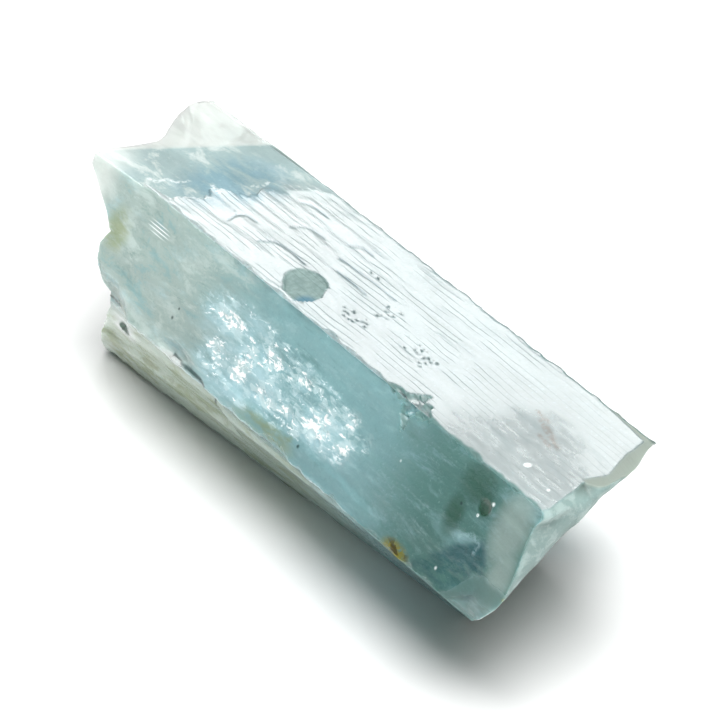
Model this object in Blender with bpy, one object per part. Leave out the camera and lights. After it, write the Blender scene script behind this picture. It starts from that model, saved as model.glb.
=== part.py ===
"""Aquamarine crystal: one hexagonal prism of beryl, broken off at both ends.

The long axis runs along +X towards the front break. +Y is the far side, +Z is up.
Shapes are worked out with the near top edge on y = 0 and the top face on z = 0,
and the finished crystal is moved so that it stands on z = 0 with its box centred.
"""
import math

import bpy
import numpy as np

MM = 0.001

# Cross-section: a hexagon whose corners are all 120 degrees
TOP_WIDTH = 7.1 * MM
NEAR_UPPER_WIDTH = 5.9 * MM
HEIGHT = 10.5 * MM
FACE_TILT = math.radians(60)
BASE_FAR_Y = 7.0 * MM

# Base edge of the near side, which runs a little askew to the axis
BASE_NEAR_Y = -0.72 * MM
BASE_NEAR_SKEW = 0.077
BASE_NEAR_START = -20.0 * MM

# Back break: how far back each place of the rim reaches, in millimetres. A place runs from 0
# to 6 round the hexagon: 0 is the near top corner, 1 the far top corner, 2 the far side corner,
# 3 the far base corner, 4 the near base corner and 5 the near side corner.
BACK_RIM_PLACES = (0.0, 0.14, 0.27, 0.46, 0.66, 0.71, 0.80, 0.93, 1.0, 1.45, 1.8, 2.0, 2.5, 3.0,
                   3.5, 4.0, 4.12, 4.35, 4.7, 4.93, 5.04, 5.10, 5.20, 5.35, 5.50, 5.60, 5.80, 5.86)
BACK_RIM_REACH = (22.8, 22.5, 22.3, 23.2, 24.1, 25.0, 25.2, 24.9, 24.2, 22.4, 23.0, 22.0, 20.6, 21.4,
                  20.4, 21.5, 21.5, 20.6, 19.2, 18.2, 18.2, 19.3, 19.6, 20.0, 19.6, 20.3, 22.4, 23.1)
BACK_MIDDLE = (3.4 * MM, -5.2 * MM)
BACK_MIDDLE_REACH = 20.9 * MM
BACK_FADE = 5.6 * MM
BACK_FADE_POWER = 1.5

# Low steps across the back break
HACKLE_HEIGHT = 0.55 * MM
HACKLE_SPACING = 2.3 * MM
HACKLE_DIRECTION = (0.8, -0.6)
HACKLE_WAVE = 0.5 * MM

# Front break: a short facet under the top rim, and a long undercut below a ridge
FACET_START = 13.95 * MM
FACET_SLOPE = -0.18
RIDGE_FAR = (12.95 * MM, 7.05 * MM, 0.0)
RIDGE_NEAR = (14.05 * MM, -2.95 * MM, -5.1 * MM)
UNDERCUT_LOW = (4.0 * MM, 7.0 * MM, -10.5 * MM)
UNDERCUT_HOLLOW = 0.75 * MM
UNDERCUT_DEPTH = 9.0 * MM
RIDGE_DIP = 0.45 * MM
RIDGE_ROUND = 0.45 * MM
RIPPLE = 0.09 * MM
RIPPLE_SPACING = 1.1 * MM
RIPPLE_HEIGHT_START = 1.5 * MM

# Notch in the front rim of the top face: y, and how far the rim is moved along x, in millimetres
RIM_NOTCH_Y = (-0.6, 0.4, 2.5, 2.7, 3.1, 3.5, 4.4, 6.0)
RIM_NOTCH_X = (0.2, 0.55, -0.35, -0.38, 0.05, 0.35, 0.15, 0.0)
RIM_NOTCH_TOP = -0.2 * MM
RIM_NOTCH_LOW = -0.9 * MM

# Growth terraces of the top face, in millimetres: start x, end x, middle y, half width, height
TERRACES = (
    (-15.0, -4.2, 5.2, 0.75, 0.10),
    (-13.2, 1.8, 3.6, 0.70, 0.09),
    (-9.8, 7.0, 6.1, 0.40, 0.07),
    (-11.6, -7.8, 2.6, 0.55, 0.09),
    (-3.8, 9.6, 2.5, 0.60, 0.09),
    (1.5, 11.4, 4.6, 0.65, 0.08),
    (-16.0, -9.4, 1.2, 0.50, 0.08),
)

TERRACE_SIDE = 0.18
TERRACE_SWAY = 0.25
TOP_DEPTH = 0.12 * MM

# Behind a jagged line near the back end the top face drops a step and falls away gently
BACK_LINE = -16.6 * MM
BACK_LINE_SKEW = 0.35
BACK_LINE_JAG = 0.6 * MM
BACK_STEP = 0.06 * MM
BACK_STEP_WIDTH = 0.3 * MM
BACK_FALL = 0.035

# Etched window in the top face, in millimetres: middle x, middle y, half length, half width, depth
WINDOW = (-7.1, 1.4, 1.6, 1.15, 0.34)
WINDOW_TILT = 0.25
WINDOW_SIDE = 0.3

# Chips of the long edges, in millimetres: edge by its corner's place, middle x, half length, depth
EDGE_CHIPS = (
    (0, -16.2, 0.6, 0.10), (0, -2.6, 0.9, 0.16), (0, -0.4, 0.7, 0.10), (0, 2.1, 0.5, 0.16),
    (0, 3.3, 0.7, 0.34), (0, 4.3, 0.7, 0.55), (0, 5.6, 0.9, 0.16), (0, 8.9, 0.8, 0.12),
    (1, -8.0, 1.0, 0.10), (1, 12.2, 1.8, 0.05),
    (2, -15.0, 1.6, 0.35), (2, -3.5, 1.2, 0.25), (2, 3.4, 1.8, 0.40),
    (3, -11.0, 1.5, 0.30), (3, 0.5, 1.2, 0.20),
    (4, -20.5, 1.6, 0.12), (4, -4.0, 1.4, 0.12),
    (5, -18.6, 3.0, 0.55), (5, -3.0, 1.6, 0.14), (5, 13.4, 1.6, 0.55),
)

# Ledges along the side faces: face, part of the way across it, then start x, end x and depth
# in millimetres. A face has the number of the corner that it starts from.
LEDGES = (
    (5, 0.34, -1.0, 13.0, 0.16),
    (5, 0.62, -14.0, 2.5, 0.18),
    (5, 0.86, -18.0, -6.0, 0.14),
    (4, 0.38, -22.0, -8.0, 0.22),
    (4, 0.70, -20.0, 4.0, 0.16),
    (1, 0.30, -22.0, 3.0, 0.20),
    (1, 0.66, -12.0, 12.0, 0.16),
    (2, 0.42, -20.0, 6.0, 0.24),
    (2, 0.78, -9.0, 8.0, 0.14),
)

LEDGE_END = 1.2

# Hollows left by small breaks: face, middle x, part of the way across, half length, half width
# and depth, in millimetres but for the part across
HOLLOWS = (
    (5, 10.8, 0.28, 2.6, 1.5, 0.42),
    (5, 11.1, 0.74, 0.5, 0.45, 0.30),
    (4, -17.6, 0.80, 0.4, 0.4, 0.30),
    (5, -11.6, 0.07, 1.6, 0.5, 0.22),
    (1, -6.0, 0.55, 2.6, 1.5, 0.36),
    (2, 1.0, 0.50, 2.2, 1.6, 0.40),
    (2, -14.5, 0.60, 1.8, 1.3, 0.34),
)

SIDE_WIDTH = 6.0

# Front rim of the top face, where it bends over into the break
RIM_BEVEL = 0.3 * MM
RIM_BEVEL_HEIGHT = 0.5 * MM
EDGE_WEAR = 0.07 * MM
EDGE_WEAR_SWING = 0.35

# Mesh lines: rows along the crystal, closer together at both ends, and lines round each face
ROW_COUNT = 92
ROW_CROWDING = 0.02
CORNER_PART = 0.028
LEDGE_PART = 0.025
WIDEST_PARTS = (0.085, 0.15, 0.15, 0.5, 0.13, 0.09)
CAP_RINGS = 8


def clear_scene():
    for obj in list(bpy.data.objects):
        bpy.data.objects.remove(obj, do_unlink=True)


def smooth_step(low, high, value):
    """0 below low, 1 above high, and an S-shaped rise between them."""
    t = np.clip((value - low) / (high - low), 0.0, 1.0)
    return t * t * (3.0 - 2.0 * t)


def hexagon_corners(x):
    """Corners of the cross-section at each x, as (y, z) arrays: near top, far top, far side,
    far base, near base, near side. The far side corner is where the two 60 degree faces meet."""
    side_y = -NEAR_UPPER_WIDTH * math.cos(FACE_TILT)
    side_z = -NEAR_UPPER_WIDTH * math.sin(FACE_TILT)
    slope = math.tan(FACE_TILT)
    far_y = (HEIGHT + slope * (TOP_WIDTH + BASE_FAR_Y)) / (2.0 * slope)
    far_z = -slope * (far_y - TOP_WIDTH)
    base_y = BASE_NEAR_Y + BASE_NEAR_SKEW * (x - BASE_NEAR_START)
    flat = np.zeros_like(x)
    return [
        (flat, flat),
        (flat + TOP_WIDTH, flat),
        (flat + far_y, flat + far_z),
        (flat + BASE_FAR_Y, flat - HEIGHT),
        (base_y, flat - HEIGHT),
        (flat + side_y, flat + side_z),
    ]


def section_point(place, x):
    """(y, z) on the plain hexagon, where place runs from 0 to 6 round it, one unit for a face."""
    corners = hexagon_corners(x)
    face = np.floor(place).astype(int) % 6
    part = place - np.floor(place)
    y = np.zeros_like(x)
    z = np.zeros_like(x)
    for index in range(6):
        here = face == index
        start = corners[index]
        end = corners[(index + 1) % 6]
        y = np.where(here, start[0] + (end[0] - start[0]) * part, y)
        z = np.where(here, start[1] + (end[1] - start[1]) * part, z)
    return y, z


def plane_through(first, second, third):
    """Base, y slope and z slope of the plane x = base + a*y + b*z through three points."""
    points = np.array([first, second, third])
    system = np.column_stack([np.ones(3), points[:, 1], points[:, 2]])
    return np.linalg.solve(system, points[:, 0])


def facet_reach(y, z):
    """x of the steep facet, with the bevel and the notch of the rim above it."""
    bevel = RIM_BEVEL * smooth_step(-RIM_BEVEL_HEIGHT, 0.0, z)
    notch = np.interp(y / MM, RIM_NOTCH_Y, RIM_NOTCH_X) * MM * smooth_step(RIM_NOTCH_LOW, RIM_NOTCH_TOP, z)
    return FACET_START + FACET_SLOPE * z - bevel + notch


def undercut_reach(y, z):
    """x of the undercut: a plane through the ridge, hollowed below it and rippled."""
    base, y_slope, z_slope = plane_through(RIDGE_FAR, RIDGE_NEAR, UNDERCUT_LOW)
    plane = base + y_slope * y + z_slope * z
    depth = np.clip((FACET_START + FACET_SLOPE * z - plane) / UNDERCUT_DEPTH, 0.0, 1.0)
    hollow = UNDERCUT_HOLLOW * np.sin(math.pi * depth)
    along = np.clip((RIDGE_FAR[1] - y) / (RIDGE_FAR[1] - RIDGE_NEAR[1]), 0.0, 1.0)
    dip = RIDGE_DIP * np.sin(math.pi * along)
    ring = np.hypot(y - RIDGE_FAR[1], z - RIPPLE_HEIGHT_START)
    ripple = RIPPLE * np.sin(2.0 * math.pi * ring / RIPPLE_SPACING) * smooth_step(0.0, 0.15, depth)
    return plane - dip - hollow + ripple


def front_reach(y, z):
    """x of the front break: the nearer of the facet and the undercut, with a rounded ridge between."""
    facet = facet_reach(y, z)
    undercut = undercut_reach(y, z)
    blend = np.clip(0.5 + (undercut - facet) / (2.0 * RIDGE_ROUND), 0.0, 1.0)
    return undercut + (facet - undercut) * blend - RIDGE_ROUND * blend * (1.0 - blend)


def place_round(y, z, middle):
    """Place of a direction from the middle of the section, from 0 to 6 round its corners."""
    corners = hexagon_corners(np.array([BACK_MIDDLE_REACH * -1.0]))
    angles = [math.atan2(float(c[1][0]) - middle[1], float(c[0][0]) - middle[0]) for c in corners]
    start = angles[0]
    turned = [(start - a) % (2.0 * math.pi) for a in angles] + [2.0 * math.pi]
    angle = (start - np.arctan2(z - middle[1], y - middle[0])) % (2.0 * math.pi)
    return np.interp(angle, turned, np.arange(7.0))


def back_reach(y, z):
    """x of the back break: the rim's reach fades towards the middle, over low steps."""
    place = place_round(y, z, BACK_MIDDLE)
    places = np.array(BACK_RIM_PLACES + (6.0,))
    reach = np.array(BACK_RIM_REACH + (BACK_RIM_REACH[0],)) * MM
    rim = np.interp(place, places, reach)
    away = np.hypot(y - BACK_MIDDLE[0], z - BACK_MIDDLE[1]) / BACK_FADE
    blend = np.clip(away, 0.0, 1.0) ** BACK_FADE_POWER
    across = y * HACKLE_DIRECTION[0] + z * HACKLE_DIRECTION[1] + HACKLE_WAVE * np.sin(z / MM)
    across = across / HACKLE_SPACING
    steps = HACKLE_HEIGHT * (across - np.floor(across) - 0.5) * smooth_step(0.0, 0.3, 1.0 - away)
    return -(BACK_MIDDLE_REACH + (rim - BACK_MIDDLE_REACH) * blend + steps)


def terrace_height(x, y):
    """Raised plates with steep sides and pointed ends, as height above the lowest terrace."""
    height = np.zeros_like(x)
    for start, end, middle, half, rise in TERRACES:
        along = (2.0 * x / MM - start - end) / (end - start)
        reach = half * np.clip(1.0 - np.abs(along) ** 3, 0.0, 1.0)
        sway = TERRACE_SWAY * np.sin(x / MM * 0.45 + middle)
        inside = reach - np.abs(y / MM - middle - sway)
        height += rise * MM * smooth_step(0.0, TERRACE_SIDE, inside)
    return height


def back_zone_drop(x, y):
    """The top face falls away gently behind a jagged line near the back end."""
    line = BACK_LINE + BACK_LINE_SKEW * y + BACK_LINE_JAG * np.sin(y / MM * 2.4)
    behind = np.clip(line - x, 0.0, None)
    return BACK_STEP * smooth_step(0.0, BACK_STEP_WIDTH, behind) + BACK_FALL * behind


def window_drop(x, y):
    """A shallow six-sided pit with a floor that slopes down to its near side."""
    middle_x, middle_y, half_x, half_y, depth = WINDOW
    u = np.abs(x / MM - middle_x) / half_x
    v = (y / MM - middle_y) / half_y
    six_sided = np.maximum(np.abs(v), u + 0.5 * np.abs(v))
    floor = depth * (1.0 - WINDOW_TILT * (1.0 + v))
    return floor * MM * smooth_step(0.0, WINDOW_SIDE, 1.0 - six_sided)


def face_relief(place, x, y):
    """How far each point of a face lies inside the plain hexagon."""
    face = np.floor(place).astype(int) % 6
    part = place - np.floor(place)
    top = face == 0
    depth = np.where(top, np.maximum(TOP_DEPTH - terrace_height(x, y), 0.0), 0.0)
    depth = depth + np.where(top, back_zone_drop(x, y) + window_drop(x, y), 0.0)
    for index, across, start, end, drop in LEDGES:
        ends = smooth_step(start, start + LEDGE_END, x / MM)
        ends = ends * (1.0 - smooth_step(end - LEDGE_END, end, x / MM))
        shelf = smooth_step(across - LEDGE_PART, across + LEDGE_PART, part)
        depth = depth + np.where(face == index, drop * MM * shelf * ends, 0.0)
    for index, middle, across, half_x, half_y, drop in HOLLOWS:
        u = (x / MM - middle) / half_x
        v = (part - across) * SIDE_WIDTH / half_y
        bowl = np.clip(1.0 - u * u - v * v, 0.0, 1.0)
        depth = depth + np.where(face == index, drop * MM * bowl, 0.0)
    return depth * smooth_step(0.0, CORNER_PART, part) * smooth_step(0.0, CORNER_PART, 1.0 - part)


def wear_of_edge(index, x):
    """How deep each long edge is worn back, and its larger chips."""
    wave = np.sin(x / MM * 1.7 + index * 2.1) + np.sin(x / MM * 4.3 + index * 0.7)
    wear = EDGE_WEAR * (1.0 + EDGE_WEAR_SWING * wave)
    for edge, middle, half, drop in EDGE_CHIPS:
        if edge == index:
            wear = wear + drop * MM * np.clip(1.0 - np.abs(x / MM - middle) / half, 0.0, 1.0)
    return wear


def cut_edges(y, z, x):
    """Cuts the six long edges back by planes square to each corner's bisector."""
    corners = hexagon_corners(x)
    for index in range(6):
        corner_y, corner_z = corners[index]
        before = corners[index - 1]
        after = corners[(index + 1) % 6]
        out = np.array([2.0 * corner_y - before[0] - after[0], 2.0 * corner_z - before[1] - after[1]])
        out = out / np.hypot(out[0], out[1])
        over = (y - corner_y) * out[0] + (z - corner_z) * out[1] + wear_of_edge(index, x)
        over = np.maximum(over, 0.0)
        y = y - over * out[0]
        z = z - over * out[1]
    return y, z


def face_inward(place, x):
    """Unit direction in (y, z) from each face towards the inside."""
    corners = hexagon_corners(x)
    face = np.floor(place).astype(int) % 6
    inward_y = np.zeros_like(x)
    inward_z = np.zeros_like(x)
    for index in range(6):
        start = corners[index]
        end = corners[(index + 1) % 6]
        along_y = end[0] - start[0]
        along_z = end[1] - start[1]
        size = np.hypot(along_y, along_z)
        here = face == index
        inward_y = np.where(here, along_z / size, inward_y)
        inward_z = np.where(here, -along_y / size, inward_z)
    return inward_y, inward_z


def round_places():
    """Places round the hexagon where the mesh has a lengthwise line: each corner and the worn
    strip beside it, both edges of each ledge, and even lines between them."""
    places = []
    for index, widest in enumerate(WIDEST_PARTS):
        fixed = [0.0, CORNER_PART, 1.0 - CORNER_PART, 1.0]
        for face, across, *_ in LEDGES:
            if face == index:
                fixed += [across - LEDGE_PART, across + LEDGE_PART]
        fixed.sort()
        for start, end in zip(fixed, fixed[1:]):
            steps = max(1, math.ceil((end - start) / widest))
            places.append(index + np.linspace(start, end, steps, endpoint=False))
    return np.concatenate(places)


def row_parts():
    """Fractions of the length, closer together near both ends and the edge chips."""
    even = np.linspace(0.0, 1.0, ROW_COUNT)
    return even - ROW_CROWDING * np.sin(2.0 * math.pi * even)


def side_points():
    """Rows of points along the crystal: each point runs from the back break to the front one."""
    places, parts = np.meshgrid(round_places(), row_parts())
    x = np.zeros_like(places)
    for _ in range(3):
        y, z = section_point(places, x)
        back = back_reach(y, z)
        x = back + (front_reach(y, z) - back) * parts
    y, z = section_point(places, x)
    inward_y, inward_z = face_inward(places, x)
    depth = face_relief(places, x, y)
    depth = np.where(np.floor(places) == 3, 0.0, depth)
    y, z = cut_edges(y + depth * inward_y, z + depth * inward_z, x)
    back = back_reach(y, z)
    x = back + (front_reach(y, z) - back) * parts
    return np.stack([x, y, z], axis=-1)


def cap_points(rim, middle, reach):
    """Rings that shrink from a rim to the middle, each point at the reach of its (y, z)."""
    rings = []
    for ring in range(1, CAP_RINGS):
        size = 1.0 - ring / CAP_RINGS
        y = middle[0] + (rim[:, 1] - middle[0]) * size
        z = middle[1] + (rim[:, 2] - middle[1]) * size
        rings.append(np.stack([reach(y, z), y, z], axis=-1))
    y, z = np.array([middle[0]]), np.array([middle[1]])
    return rings, np.stack([reach(y, z), y, z], axis=-1)


def band_faces(first, second, count, flip):
    """Four-sided faces between two closed rings of points."""
    faces = []
    for i in range(count):
        j = (i + 1) % count
        face = (first + i, first + j, second + j, second + i)
        faces.append(face[::-1] if flip else face)
    return faces


def crystal_mesh():
    """The closed surface: the six long faces, and a break at each end."""
    rows = side_points()
    count = rows.shape[1]
    ridge_middle = [(RIDGE_FAR[k] + RIDGE_NEAR[k]) / 2.0 for k in (1, 2)]
    ends = (
        (rows[0], BACK_MIDDLE, back_reach, 0, False),
        (rows[-1], ridge_middle, front_reach, (ROW_COUNT - 1) * count, True),
    )
    points = [rows.reshape(-1, 3)]
    faces = []
    for row in range(ROW_COUNT - 1):
        faces += band_faces(row * count, (row + 1) * count, count, True)
    total = ROW_COUNT * count
    for rim, middle, reach, start, flip in ends:
        rings, pole = cap_points(rim, middle, reach)
        for ring in rings:
            faces += band_faces(start, total, count, flip)
            points.append(ring)
            start = total
            total += count
        points.append(pole)
        for i in range(count):
            face = (start + i, start + (i + 1) % count, total)
            faces.append(face[::-1] if flip else face)
        total += 1
    return np.concatenate(points), faces


def crystal_material():
    """Pale blue-green beryl with a glassy surface."""
    material = bpy.data.materials.new("aquamarine")
    material.use_nodes = True
    shader = material.node_tree.nodes["Principled BSDF"]
    shader.inputs["Base Color"].default_value = (0.42, 0.66, 0.67, 1.0)
    shader.inputs["Roughness"].default_value = 0.12
    shader.inputs["Metallic"].default_value = 0.0
    return material


def build_crystal():
    points, faces = crystal_mesh()
    low = points.min(axis=0)
    high = points.max(axis=0)
    points = points - np.array([(low[0] + high[0]) / 2.0, (low[1] + high[1]) / 2.0, low[2]])
    mesh = bpy.data.meshes.new("crystal")
    mesh.from_pydata(points.tolist(), [], faces)
    mesh.validate()
    mesh.update()
    crystal = bpy.data.objects.new("crystal", mesh)
    crystal.data.materials.append(crystal_material())
    bpy.context.scene.collection.objects.link(crystal)
    return crystal


clear_scene()
build_crystal()
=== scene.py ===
import math

import bpy
import numpy as np
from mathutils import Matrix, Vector


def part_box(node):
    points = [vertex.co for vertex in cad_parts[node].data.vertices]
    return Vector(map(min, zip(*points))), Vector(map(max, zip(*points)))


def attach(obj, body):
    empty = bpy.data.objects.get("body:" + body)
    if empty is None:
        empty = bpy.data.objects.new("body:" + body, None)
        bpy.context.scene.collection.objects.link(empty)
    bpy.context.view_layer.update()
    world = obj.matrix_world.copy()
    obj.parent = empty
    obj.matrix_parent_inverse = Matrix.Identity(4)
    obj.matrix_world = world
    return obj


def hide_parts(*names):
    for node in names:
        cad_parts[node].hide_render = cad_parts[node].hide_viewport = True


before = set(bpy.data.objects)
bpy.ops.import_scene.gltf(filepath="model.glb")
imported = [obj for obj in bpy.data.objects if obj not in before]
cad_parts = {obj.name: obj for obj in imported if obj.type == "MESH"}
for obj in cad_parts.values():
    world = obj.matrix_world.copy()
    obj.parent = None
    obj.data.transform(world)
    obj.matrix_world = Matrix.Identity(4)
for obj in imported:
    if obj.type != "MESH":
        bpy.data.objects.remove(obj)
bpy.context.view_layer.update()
print("frame loaded")

mm = 0.001

# The prism, in millimetres. The near top edge is y = 0, z = 0 and the long axis is x.
prism = {
    "topWidth": 7.1,
    "nearUpperWidth": 5.9,
    "height": 10.5,
    "baseFarY": 7.0,
    "baseNearY": -0.72,      # near base edge where it starts
    "baseNearSkew": 0.077,   # and how it drifts along the axis
    "baseNearStart": -20.0,
    "rows": 310,
    "capRings": 22,
    "faceCells": (104, 20, 18, 8, 42, 84),   # steps across each face
    "edgeWear": 0.07,
    # the back break: how far back its rim reaches at places round the corners, and its middle
    "backMiddle": (3.4, -5.2),
    "backMiddleReach": 20.9,
    "backPlaces": (0.0, 0.08, 0.20, 0.40, 0.50, 0.58, 0.70, 0.80, 0.92, 1.02, 1.10, 1.45, 1.8, 2.0, 2.5, 3.0,
                   3.5, 4.0, 4.12, 4.35, 4.7, 4.93, 5.04, 5.10, 5.20, 5.35, 5.50, 5.60, 5.80, 5.86),
    "backReach": (23.2, 23.2, 23.1, 22.9, 23.3, 23.9, 24.6, 25.0, 25.1, 24.9, 24.5, 22.6, 23.0, 22.0, 20.6, 21.4,
                  20.4, 21.5, 21.5, 20.6, 19.2, 18.2, 18.2, 19.3, 19.6, 20.0, 19.6, 20.3, 22.4, 23.1),
    "backRadius": 5.6,
    "hackleHeight": 0.55,    # tilted steps of the break
    "hackleLength": 2.3,
    "backRough": (0.22, 0.08),   # coarse and fine
    # the front break: a steep facet and an undercut meet in a ridge between two points
    "facet": (13.95, -0.18),   # where the facet under the front rim starts, and its slope down
    "ridgeFar": (12.95, 7.05, 0.0),
    "ridgeNear": (14.05, -2.95, -5.1),
    "ridgeBulge": -0.45,
    "ridgeRound": 0.8,
    "undercutLow": (4.0, 7.0, -10.5),
    "undercutHollow": 0.75,
    "undercutLean": 9.0,     # how far it leans in where the hollow ends
    "rippleMiddle": (7.05, 1.5),
    "rippleHeight": 0.09,
    "rippleLength": 1.1,
    "frontRough": 0.10,
    "rimBevel": 0.3,
    "rimY": (-0.6, 0.4, 2.55, 2.7, 3.1, 3.5, 4.4, 6.0),   # a notch in the front rim
    "rimX": (0.2, 0.55, -0.35, -0.38, 0.05, 0.35, 0.15, 0.0),
}
slope60 = math.tan(math.radians(60))


def smoothStep(low, high, value):
    # 0 below low, 1 above high and an S-shaped rise between them
    t = np.clip((value - low) / (high - low), 0.0, 1.0)
    return t * t * (3.0 - 2.0 * t)


def chance(i, j, seed):
    # a fixed random number from 0 to 1 for each whole-number cell: the fraction of a large sine
    value = np.sin(i * 127.1 + j * 311.7 + seed * 74.7) * 43758.5453
    return value - np.floor(value)


def softNoise(u, v, seed, ramp=1.0):
    # random numbers at whole-number corners, from -1 to 1, blended smoothly between them;
    # a short ramp keeps each number level along u until close to the next
    i = np.floor(u)
    j = np.floor(v)
    a = smoothStep(0.5 - ramp / 2.0, 0.5 + ramp / 2.0, u - i)
    b = smoothStep(0.0, 1.0, v - j)
    low = chance(i, j, seed) * (1 - a) + chance(i + 1, j, seed) * a
    high = chance(i, j + 1, seed) * (1 - a) + chance(i + 1, j + 1, seed) * a
    return 2.0 * (low * (1 - b) + high * b) - 1.0


def marks(u, v, spots):
    # soft ellipses: 1 in the middle of each, 0 past its half length and half width
    total = np.zeros_like(u)
    for middleU, middleV, halfU, halfV in spots:
        away = ((u - middleU) / halfU) ** 2 + ((v - middleV) / halfV) ** 2
        total = np.maximum(total, smoothStep(1.0, 0.0, away))
    return total


def facets(u, v, seed, tilt=1.0):
    # broken ground: each point lies on the tilted plane of its nearest random seed point
    i = np.floor(u)
    j = np.floor(v)
    nearest = np.full_like(u, 9.0)
    height = np.zeros_like(u)
    for di in (-1, 0, 1):
        for dj in (-1, 0, 1):
            ci = i + di
            cj = j + dj
            du = u - ci - chance(ci, cj, seed)
            dv = v - cj - chance(ci, cj, seed + 5)
            away = du * du + dv * dv
            plane = ((chance(ci, cj, seed + 7) - 0.5) * du + (chance(ci, cj, seed + 9) - 0.5) * dv) * 2.0 * tilt
            plane = plane + (chance(ci, cj, seed + 11) - 0.5) * 0.6
            height = np.where(away < nearest, plane, height)
            nearest = np.minimum(nearest, away)
    return height


def corners(x):
    # (y, z) of the six corners: near top, far top, far side, far base, near base, near side
    p = prism
    flat = np.zeros_like(x)
    farY = (p["height"] + slope60 * (p["topWidth"] + p["baseFarY"])) / (2.0 * slope60)
    farZ = -slope60 * (farY - p["topWidth"])
    baseY = p["baseNearY"] + p["baseNearSkew"] * (x - p["baseNearStart"])
    side = p["nearUpperWidth"]
    return [
        (flat, flat),
        (flat + p["topWidth"], flat),
        (flat + farY, flat + farZ),
        (flat + p["baseFarY"], flat - p["height"]),
        (baseY, flat - p["height"]),
        (flat - side * 0.5, flat - side * math.sin(math.radians(60))),
    ]


def faceFrame(place, x):
    # start corner, run across and inward direction of the face that each place is on
    face = np.floor(place).astype(int) % 6
    found = corners(x)
    startY = np.choose(face, [c[0] for c in found])
    startZ = np.choose(face, [c[1] for c in found])
    runY = np.choose(face, [found[(k + 1) % 6][0] for k in range(6)]) - startY
    runZ = np.choose(face, [found[(k + 1) % 6][1] for k in range(6)]) - startZ
    width = np.hypot(runY, runZ)
    return face, startY, startZ, runY, runZ, runZ / width, -runY / width


def frontReach(y, z):
    # the nearer of a steep facet and a hollowed, rippled undercut that starts at the ridge
    p = prism
    facet = p["facet"][0] + p["facet"][1] * z
    points = np.array([p["ridgeFar"], p["ridgeNear"], p["undercutLow"]])
    system = np.column_stack([np.ones(3), points[:, 1], points[:, 2]])
    base, ySlope, zSlope = np.linalg.solve(system, points[:, 0])
    undercut = base + ySlope * y + zSlope * z
    depth = np.clip((facet - undercut) / p["undercutLean"], 0.0, 1.0)
    along = np.clip((p["ridgeFar"][1] - y) / (p["ridgeFar"][1] - p["ridgeNear"][1]), 0.0, 1.0)
    undercut = undercut + p["ridgeBulge"] * np.sin(math.pi * along) - p["undercutHollow"] * np.sin(math.pi * depth)
    # conchoidal ripples and rough ground, both gone near the lower tip
    ring = np.hypot(y - p["rippleMiddle"][0], z - p["rippleMiddle"][1]) / p["rippleLength"]
    ripple = p["rippleHeight"] * np.sin(2.0 * math.pi * ring + 0.8 * softNoise(y, z, 3)) * smoothStep(0.0, 0.15, depth)
    rough = p["frontRough"] * facets(y * 1.1, z * 1.1, 21, 0.8) * smoothStep(0.02, 0.2, depth)
    undercut = undercut + (ripple + rough) * smoothStep(-1.2, 1.0, y)
    wavy = 0.05 * softNoise(y * 0.9 + 3.0, z * 0.25, 8) + 0.05 * softNoise(y * 2.3, z * 0.4, 9)
    facet = facet - p["rimBevel"] * smoothStep(-0.5, 0.0, z) + wavy
    facet = facet + smoothStep(-0.9, -0.2, z) * np.interp(y, p["rimY"], p["rimX"])
    undercut = undercut + wavy
    # the two breaks meet in a rounded ridge
    blend = np.clip(0.5 + (undercut - facet) / (2.0 * p["ridgeRound"]), 0.0, 1.0)
    return undercut + (facet - undercut) * blend - p["ridgeRound"] * blend * (1.0 - blend)


def placeRound(y, z, middle):
    # place of a direction seen from the middle, from 0 to 6 round the corners
    found = corners(np.array([-prism["backMiddleReach"]]))
    angles = [math.atan2(float(c[1][0]) - middle[1], float(c[0][0]) - middle[0]) for c in found]
    turned = [(angles[0] - a) % (2.0 * math.pi) for a in angles] + [2.0 * math.pi]
    angle = (angles[0] - np.arctan2(z - middle[1], y - middle[0])) % (2.0 * math.pi)
    return np.interp(angle, turned, np.arange(7.0))


def backReach(y, z):
    # the rim's reach fades towards the middle, over tilted hackles that stay clear of the top
    p = prism
    middle = p["backMiddle"]
    place = placeRound(y, z, middle)
    rim = np.interp(place, p["backPlaces"] + (6.0,), p["backReach"] + (p["backReach"][0],))
    away = np.hypot(y - middle[0], z - middle[1]) / p["backRadius"]
    blend = np.clip(away, 0.0, 1.0) ** 1.5
    across = (y * 0.8 - z * 0.6 + 0.5 * np.sin(z)) / p["hackleLength"]
    steps = p["hackleHeight"] * (across - np.floor(across) - 0.5) * smoothStep(0.0, 0.3, 1.0 - away)
    coarse, fine = p["backRough"]
    rough = coarse * facets(y * 0.9, z * 0.9, 31) + fine * facets(y * 2.6, z * 2.6, 33)
    rough = rough * smoothStep(1.25, 0.7, away)
    low = smoothStep(-0.4, -2.2, z)
    return -(p["backMiddleReach"] + (rim - p["backMiddleReach"]) * blend + (steps + rough) * low)


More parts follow.
